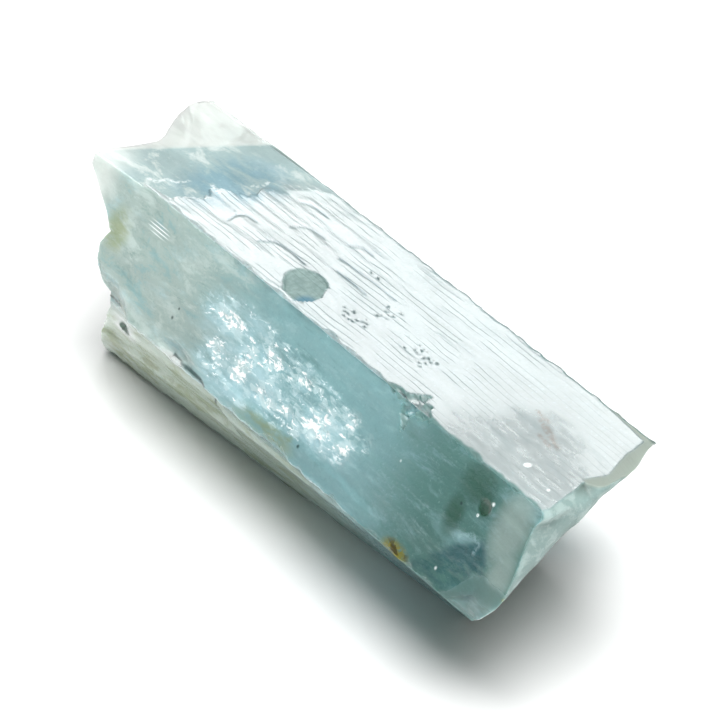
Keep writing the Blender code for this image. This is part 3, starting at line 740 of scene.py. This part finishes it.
beryl = {
    "index": 1.577,
    "absorb": (0.45, 0.86, 0.88, 1.0),
    "absorbDensity": 90.0,
    "milk": 0.80,            # how cloudy it is inside
    "milkScale": 0.0005,     # and how far light goes in the cloud, in metres
    # colours
    "pale": (0.43, 0.53, 0.50, 1.0),
    "teal": (0.275, 0.475, 0.50, 1.0),
    "deep": (0.10, 0.225, 0.205, 1.0),
    "blue": (0.16, 0.30, 0.36, 1.0),
    # the top face's colour: the crystal's tone lifted by painted reflection
    "topToneAndReflection": (0.32, 0.36, 0.365, 1.0),
    "backTop": (0.34, 0.44, 0.44, 1.0),
    "wisp": (0.62, 0.72, 0.69, 1.0),
    "ice": (0.55, 0.78, 0.84, 1.0),
    "fog": (0.72, 0.90, 0.93, 1.0),
    "white": (0.95, 0.99, 1.0, 1.0),
    "deepGreen": (0.027, 0.093, 0.058, 1.0),
    "deepTeal": (0.025, 0.11, 0.125, 1.0),
    "window": (0.13, 0.205, 0.195, 1.0),
    # pale colour of the near lower face, partly painted light
    "strip": (0.68, 0.77, 0.67, 1.0),
    "pane": (0.19, 0.275, 0.26, 1.0),
    # painted shade on the window's front lip
    "lip": (0.02, 0.13, 0.20, 1.0),
    "rim": (0.29, 0.335, 0.29, 1.0),
    # painted shade for the growth steps' lines
    "hook": (0.05, 0.13, 0.18, 1.0),
    "olive": (0.32, 0.37, 0.18, 1.0),
    "rust": (0.28, 0.25, 0.03, 1.0),
    "stain": (0.16, 0.12, 0.09, 1.0),
    # painted shade for the undercut of the front break
    "under": (0.10, 0.14, 0.12, 1.0),
    "speck": (0.05, 0.035, 0.01, 1.0),
    "dark": (0.02, 0.05, 0.05, 1.0),
    "tip": (0.80, 0.83, 0.80, 1.0),
    "endFace": (0.27, 0.36, 0.345, 1.0),
    # noises: stretch along the axis, scale, detail, roughness and distortion
    "noises": {
        "clouds": (0.25, 0.5, 5.0, 0.60, 0.4),
        "veils": (0.30, 1.3, 6.0, 0.68, 0.3),
        "wisps": (0.35, 1.2, 6.0, 0.68, 0.4),
        "streaks": (0.03, 6.0, 3.0, 0.60, 0.0),
        "fibres": (0.24, 3.6, 4.0, 0.65, 0.5),
        "grain": (1.0, 6.0, 4.0, 0.70, 0.0),
        "glass": (1.0, 2.6, 4.0, 0.65, 0.0),
    },
    # laid over the body in turn: mask, noise, where the noise starts and is full, strength, colour
    "coats": (
        ("deepGreen", "patches", 0.40, 0.70, 0.80, "deepGreen"),
        ("deepTeal", "veils", 0.34, 0.56, 0.90, "deepTeal"),
        ("paleEnd", "", 0.0, 1.0, 0.70, "pale"),
        ("olive", "veils", 0.35, 0.60, 0.70, "olive"),
        ("rim", "", 0.0, 1.0, 0.90, "rim"),
        # painted shade along the growth steps
        ("hooks", "", 0.0, 1.0, 0.50, "hook"),
        ("ripples", "grain", 0.36, 0.56, 0.35, "ice"),
        ("wisps", "grain", 0.42, 0.56, 0.50, "white"),
        ("stains", "grain", 0.38, 0.55, 0.70, "stain"),
        ("pit", "", 0.0, 1.0, 2.0, "deepGreen"),
        ("worn", "grain", 0.42, 0.62, 0.30, "ice"),
        ("worn", "along", 1.0, 2.4, 0.80, "deep"),
        # painted shade: a dark line along the far top edge
        ("farEdgeShade", "", 0.0, 1.0, 0.70, "dark"),
    ),
    # and these over the slivers
    "lastCoats": (
        ("pits", "", 0.0, 1.0, 0.70, "dark"),
        ("rust", "grain", 0.35, 0.50, 1.0, "rust"),
        ("rust", "shard", 0.70, 0.80, 0.80, "speck"),
        ("crack", "", 0.0, 1.0, 0.85, "dark"),
        ("halo", "", 0.0, 1.0, 0.80, "white"),
        ("hole", "", 0.0, 1.0, 2.0, "deepGreen"),
    ),
    "polish": 0.06,          # roughness of the clean faces, and what each finish adds to it
    "roughness": {"pit": 0.3, "rim": 0.6, "window": 0.45, "worn": 0.5, "farEdgeShade": 0.5, "frosted": 0.5, "broken": 0.1},
    # points of the crystal with a radius: the blue patch, the window's lip of painted shade and the pale back corner
    "bluePatch": ((-16.6, 3.6, 0.0), 3.6),
    "windowLipShade": ((-5.75, 0.75, -0.1), 0.75),
    "backCorner": ((-23.0, -0.6, -1.0), 3.2),
    "tipLine": (-23.6, 0.63),   # behind x = first + second * y the crystal is nearly clear
    # painted glint specks, as bright points, and small dark inclusions: a point and a radius
    "paintedGlints": (((10.85, 1.45, 0.0), 0.25), ((9.8, -2.55, -4.42), 0.15), ((11.25, -0.62, -1.05), 0.17),
                ((10.7, -1.0, -1.78), 0.12), ((5.0, -1.2, -2.08), 0.13), ((12.9, 1.1, 0.0), 0.12)),
    "inclusions": (((-12.8, -2.12, -3.68), 0.15), ((-12.6, -1.85, -3.2), 0.12), ((-1.3, -2.5, -4.33), 0.16),
                   ((9.5, -1.05, -1.82), 0.14), ((-11.35, -0.25, -0.43), 0.12), ((4.4, -1.5, -2.6), 0.08)),
}


def coated(n, color, noises, coats):
    # each finish over what is there, as strong as its mask times its noise
    for mask, noise, low, high, strength, paint in coats:
        amount = n.mask(mask) * strength
        if noise:
            amount = amount * n.rise(noises[noise], low, high)
        color = n.blend(amount, color, beryl[paint])
    return color


def bodyColor(n, place, noises):
    # pale at the back, teal in the middle, deep green-teal towards the front
    x, y, z = n.split(place)
    veils = noises["veils"]
    wisps = noises["wisps"]
    along = x + 6.0 * (noises["clouds"] - 0.5)
    color = n.blend(n.rise(along, -14.0, -5.0), beryl["pale"], beryl["teal"])
    color = n.blend(n.rise(along, 1.5, 8.5), color, beryl["deep"])
    color = n.blend(n.rise(veils, 0.50, 0.72) * 0.40, color, beryl["ice"])
    color = n.blend(n.rise(veils, 0.46, 0.26) * 0.42, color, beryl["deep"])
    left = 1.0 - n.rise(x, -12.0, -3.0)
    color = n.blend(n.rise(wisps, 0.48, 0.64) * left * 0.70, color, beryl["wisp"])
    color = n.blend(n.rise(wisps, 0.46, 0.34) * left * 0.55, color, beryl["teal"])
    color = n.blend(n.rise(wisps, 0.49, 0.62) * (1.0 - left) * 0.35, color, beryl["teal"])
    # the top face, greyer and paler than the sides: its own tone and painted reflection; and the clear ground behind
    # its jagged line
    behind = n.mask("behind")
    color = n.blend(n.mask("top") * 0.85, color, beryl["topToneAndReflection"])
    color = n.blend(behind * 0.9, color, beryl["backTop"])
    color = n.blend(behind * n.rise(wisps, 0.52, 0.68) * 0.45, color, beryl["tip"])
    color = n.blend(n.spot(place, *beryl["bluePatch"]) * n.rise(veils, 0.35, 0.60) * 0.8, color, beryl["blue"])
    # the front break, with painted shade on its undercut
    frosted = n.mask("frosted")
    color = n.blend(frosted * 0.85, color, beryl["endFace"])
    color = n.blend(n.mask("under") * 0.8, color, beryl["under"])
    color = n.blend(frosted * n.rise(wisps, 0.46, 0.62) * 0.3, color, beryl["wisp"])
    # the near lower face: pale, partly its own tone and partly painted light on a face turned down from the lamps, and
    # stained olive
    lowLeft = (1.0 - n.rise(z, -7.0, -5.4)) * (1.0 - n.rise(x, -6.0, 4.0))
    color = n.blend(lowLeft * 0.8, color, beryl["strip"])
    color = n.blend(lowLeft * n.rise(veils, 0.46, 0.62) * 0.65, color, beryl["olive"])
    color = n.blend(n.rise(noises["grain"], 0.56, 0.76) * 0.22, color, beryl["ice"])
    return n.blend(n.rise(noises["grain"], 0.44, 0.26) * 0.25, color, beryl["deep"])


def windowColor(n, place, color, noises):
    # the flat floor of the etched window, with painted shade as a dark lip on its front side
    pane = n.blend(n.rise(noises["glass"], 0.38, 0.66), beryl["window"], beryl["pane"])
    inside = n.mask("window")
    color = n.blend(inside, color, pane)
    return n.blend(n.spot(place, *beryl["windowLipShade"]) * inside * 0.8, color, beryl["lip"])


def sliverAndGlintColor(n, place, color, noises):
    # broken glassy slivers inside the near upper face, pale as ice and fog, with painted white highlights for their
    # glints; they crowd where the sparkle and haze masks are
    grain = noises["grain"]
    haze = n.mask("haze")
    inHaze = n.limit(haze * 2.5)
    crowd = 0.26 * n.mask("sparkle") + 0.20 * n.limit(haze * 2.0) + 1.1 * (noises["fibres"] - 0.5)
    color = n.blend(n.mask("fog") * (0.25 + n.rise(noises["veils"], 0.30, 0.65) * 0.5), color, beryl["ice"])
    color = n.blend(n.rise(crowd + 0.5 * (grain - 0.5), 0.02, 0.42) * inHaze * 0.65, color, beryl["ice"])
    color = n.blend(n.rise(0.5 * noises["shard"] + crowd, 0.40, 0.80) * inHaze * 0.80, color, beryl["fog"])
    # the white sparkle is painted highlight, where the slivers would catch the light
    sparkle = n.rise(0.75 * noises["sliver"] + 0.5 * grain + crowd, 1.10, 1.32) * inHaze
    # three painted glint lines in a row near the back, and single painted glint specks
    glintLines = n.math("FRACT", n.split(place)[2] * -6.8)
    sparkle = sparkle + n.mask("glints") * n.rise(glintLines, 0.62, 0.80)
    for middle, radius in beryl["paintedGlints"]:
        sparkle = sparkle + n.spot(place, middle, radius) * n.rise(grain, 0.36, 0.5)
    sparkle = n.limit(sparkle)
    return n.blend(sparkle * 0.97, color, beryl["white"]), sparkle


def surfaceRoughness(n, noises):
    dull = n.limit(n.mask("dull") ** 1.3 * (0.45 + 0.75 * n.rise(noises["fibres"], 0.25, 0.75)))
    rough = beryl["polish"] + 0.30 * dull + 0.05 * noises["grain"]
    rough = rough + 0.10 * n.mask("top") * n.rise(noises["veils"], 0.48, 0.66)
    for name, share in beryl["roughness"].items():
        rough = rough + n.mask(name) * share
    return n.limit(rough)


def surfaceNormal(n, place, noises):
    # fine growth lines and streaks on the top face, grain and slivers on the others
    x, y, z = n.split(place)
    onTop = n.mask("top")
    clearGround = 1.0 - n.mask("behind")
    growth = y * 3.2 + 1.8 * n.noise(n.stretched(place, (0.22, 0.8, 0.8)), 1.0, 2.0)
    lines = n.rise(growth - n.math("FLOOR", growth), 0.84, 1.0) * onTop * clearGround
    lines = lines * (1.0 - 0.65 * n.rise(x, 2.0, 8.0))
    lines = lines * n.rise(n.noise(n.stretched(place, (0.35, 1.0, 1.0)), 0.8), 0.40, 0.55)
    normal = n.bump(0.12 * noises["streaks"] * clearGround + 1.3 * lines, 0.4, 0.00003, {})
    ground = noises["grain"] + 0.8 * noises["shard"] * n.mask("haze") + 0.8 * noises["veils"]
    return n.bump(ground * (1.0 - onTop), 0.35, 0.00006, {"Normal": normal})


def berylMaterial():
    n = Nodes("beryl")
    here = n.add("ShaderNodeTexCoord", {}, {}, ("Object",))
    place = n.add("ShaderNodeMapping", {},
                  {"Vector": here, "Location": tuple(-shift), "Scale": (1 / mm, 1 / mm, 1 / mm)})
    x, y, z = n.split(place)
    noises = {}
    for name, (stretch, scale, detail, roughness, distortion) in beryl["noises"].items():
        noises[name] = n.noise(n.stretched(place, (stretch, 1.0, 1.0)), scale, detail, roughness, distortion)
    noises["along"] = x
    noises["patches"] = noises["clouds"] + 0.3 * noises["veils"]
    noises["shard"] = n.cells(n.stretched(place, (0.5, 1.0, 1.0)), 4.2)[0]
    bent = n.add("ShaderNodeVectorMath", {"operation": "MULTIPLY_ADD"},
                 {0: n.noise(place, 2.2, 2.0), 1: (0.5, 0.5, 0.5), 2: place})
    noises["sliver"] = n.cells(n.stretched(bent, (0.36, 1.0, 1.2)), 8.0)[1]
    color = windowColor(n, place, bodyColor(n, place, noises), noises)
    color = coated(n, color, noises, beryl["coats"])
    color, sparkle = sliverAndGlintColor(n, place, color, noises)
    color = coated(n, color, noises, beryl["lastCoats"])
    for middle, radius in beryl["inclusions"]:
        color = n.blend(n.spot(place, middle, radius) * 0.9, color, beryl["dark"])
    # the nearly clear back tip: its line is crisp on the top face and blurs down the far side
    lineStart, lineSlope = beryl["tipLine"]
    tip = 1.0 - n.limit((x - y * lineSlope - lineStart) / (0.15 + 2.5 * n.limit(z * -0.3)))
    color = n.blend(n.limit(tip + 0.7 * n.spot(place, *beryl["backCorner"])), color, beryl["tip"])
    shared = {"Roughness": surfaceRoughness(n, noises), "IOR": beryl["index"],
              "Normal": surfaceNormal(n, place, noises)}
    clear = n.add("ShaderNodeBsdfPrincipled", {},
                  {"Base Color": n.blend(0.5, (1, 1, 1, 1), color), "Transmission Weight": 1.0, **shared})
    milky = n.add("ShaderNodeBsdfPrincipled", {"subsurface_method": "RANDOM_WALK"},
                  {"Base Color": color, "Subsurface Weight": 1.0, "Subsurface Radius": (0.95, 1.0, 1.0),
                   "Subsurface Scale": beryl["milkScale"], **shared})
    milk = beryl["milk"] + 0.3 * n.mask("window") + 0.3 * sparkle + 0.50 * n.mask("frosted") - 0.35 * tip
    milk = milk + 0.15 * (1.0 - n.rise(x, -16.0, -6.0)) - 0.12 * n.rise(noises["clouds"], 0.60, 0.40)
    surface = n.add("ShaderNodeMixShader", {}, {0: n.limit(milk), 1: clear, 2: milky})
    volume = n.add("ShaderNodeVolumeAbsorption", {}, {"Color": beryl["absorb"], "Density": beryl["absorbDensity"]})
    n.add("ShaderNodeOutputMaterial", {}, {"Surface": surface, "Volume": volume}, ())
    return n.material


crystal.data.materials.append(berylMaterial())
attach(crystal, "root")
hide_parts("crystal")
print("beryl material made")

# Camera: a long lens that looks down on the near side and the front end
view = {
    "azimuth": 57.2,
    "elevation": 32.0,
    "lens": 225.0,
    "frameWidth": 31.6,      # millimetres seen across the frame at the aim point
}

# Studio: flat panels of even brightness over a pale paper floor, in a dim room
studio = {
    # azimuth, elevation, distance, length and height in metres, and radiance
    "panels": {"backPanel": (237.2, 36.5, 0.6, 0.30, 0.165, 5.9), "mainPanel": (84.0, 73.0, 0.75, 0.55, 0.55, 10.5)},
    "room": (0.92, 1.0, 0.95, 1.0),
    "roomStrength": 0.22,
    "paper": (0.78, 0.78, 0.78, 1.0),
    "paperRoughness": 0.9,
    "floorReach": 2.0,
}
aim = Vector(shift * mm)


def direction(azimuth, elevation):
    # unit vector towards a compass azimuth, where 0 is -Y and 90 is +X
    a = math.radians(azimuth)
    e = math.radians(elevation)
    return Vector((math.sin(a) * math.cos(e), -math.cos(a) * math.cos(e), math.sin(e)))


def placeTowards(name, data, azimuth, elevation, distance):
    # an object that looks at the crystal from this side
    away = direction(azimuth, elevation)
    piece = bpy.data.objects.new(name, data)
    piece.location = aim + away * distance
    piece.rotation_euler = away.to_track_quat("Z", "Y").to_euler()
    bpy.context.scene.collection.objects.link(piece)
    return piece


def addCamera():
    data = bpy.data.cameras.new("camera")
    data.lens = view["lens"]
    data.clip_start = 0.01
    distance = view["frameWidth"] * mm * view["lens"] / data.sensor_width
    bpy.context.scene.camera = placeTowards("camera", data, view["azimuth"], view["elevation"], distance)


def addPanel(name, azimuth, elevation, distance, length, height, radiance):
    data = bpy.data.lights.new(name, "AREA")
    data.shape = "RECTANGLE"
    data.size = length
    data.size_y = height
    data.energy = radiance * math.pi * length * height
    placeTowards(name, data, azimuth, elevation, distance)


def addRoom():
    world = bpy.data.worlds.new("studio")
    world.use_nodes = True
    background = world.node_tree.nodes["Background"]
    background.inputs["Color"].default_value = studio["room"]
    background.inputs["Strength"].default_value = studio["roomStrength"]
    bpy.context.scene.world = world


def paperFloor():
    far = studio["floorReach"]
    mesh = bpy.data.meshes.new("floor")
    mesh.from_pydata([(-far, -far, 0), (far, -far, 0), (far, far, 0), (-far, far, 0)], [], [(0, 1, 2, 3)])
    piece = bpy.data.objects.new("floor", mesh)
    bpy.context.scene.collection.objects.link(piece)
    paper = bpy.data.materials.new("paper")
    paper.use_nodes = True
    shader = paper.node_tree.nodes["Principled BSDF"]
    shader.inputs["Base Color"].default_value = studio["paper"]
    shader.inputs["Roughness"].default_value = studio["paperRoughness"]
    mesh.materials.append(paper)
    return piece


addCamera()
for name, values in studio["panels"].items():
    addPanel(name, *values)
addRoom()
floor = paperFloor()
bpy.context.scene.view_settings.view_transform = "Standard"
print("camera, lights and floor placed")
